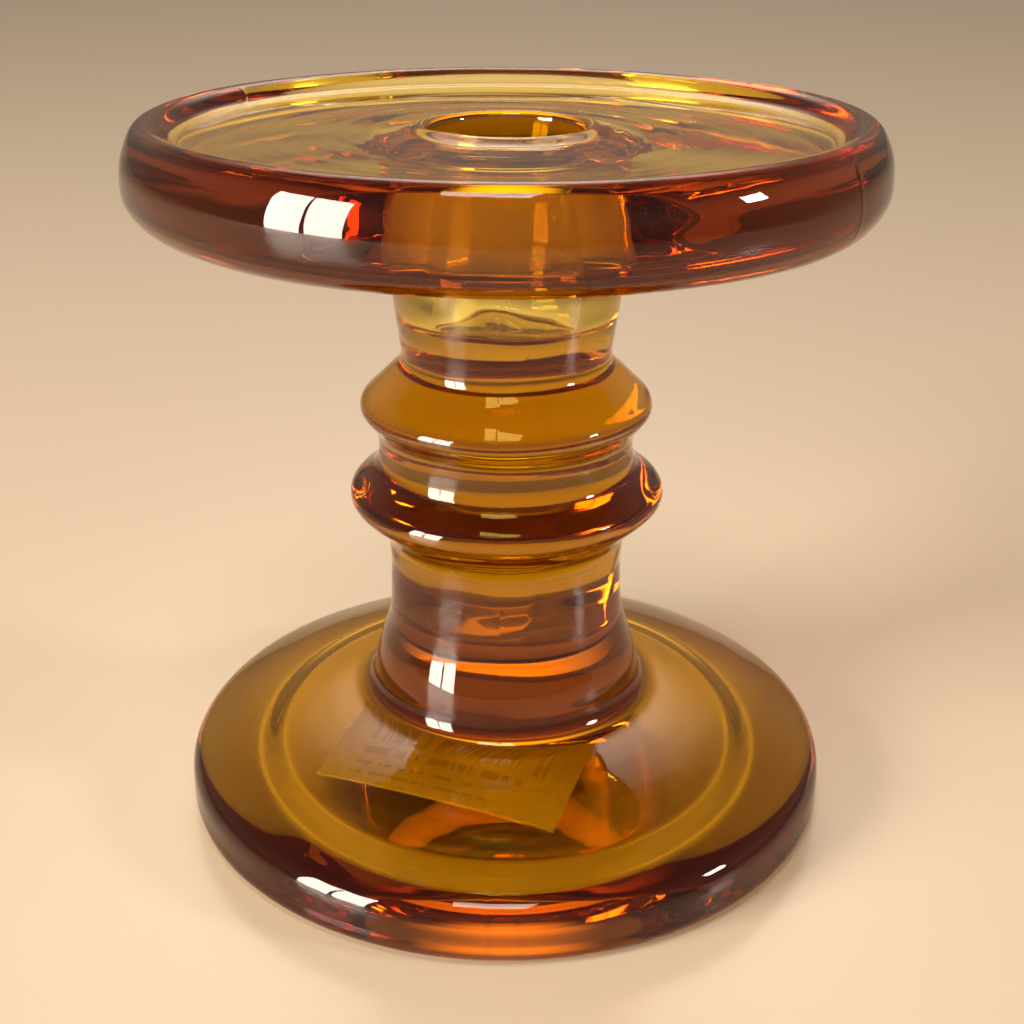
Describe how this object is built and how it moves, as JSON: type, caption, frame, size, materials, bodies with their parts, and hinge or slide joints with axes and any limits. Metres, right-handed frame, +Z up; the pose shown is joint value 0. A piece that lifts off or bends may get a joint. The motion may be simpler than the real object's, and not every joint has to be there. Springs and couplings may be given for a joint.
{
  "type": "glass candlestick",
  "caption": "Pressed amber glass candlestick: recessed pillar plate with a taper socket, stem with sharp rings and a wide domed foot.",
  "frame": {"origin": "centre of the foot, on the table it stands on", "axes": "+Z up along the axis of revolution, -Y towards the viewer of the main picture"},
  "size_m": [0.11, 0.11, 0.1099],
  "materials": {
    "amber_glass": "clear fire-polished amber glass",
    "label_paper": "matte white paper label"
  },
  "bodies": {
    "root": {"candle_plate": "amber_glass", "candle_cup": "amber_glass", "upper_ring": "amber_glass", "neck": "amber_glass", "lower_ring": "amber_glass", "lower_stem": "amber_glass", "foot": "amber_glass", "price_label": "label_paper"}
  },
  "joints": []
}
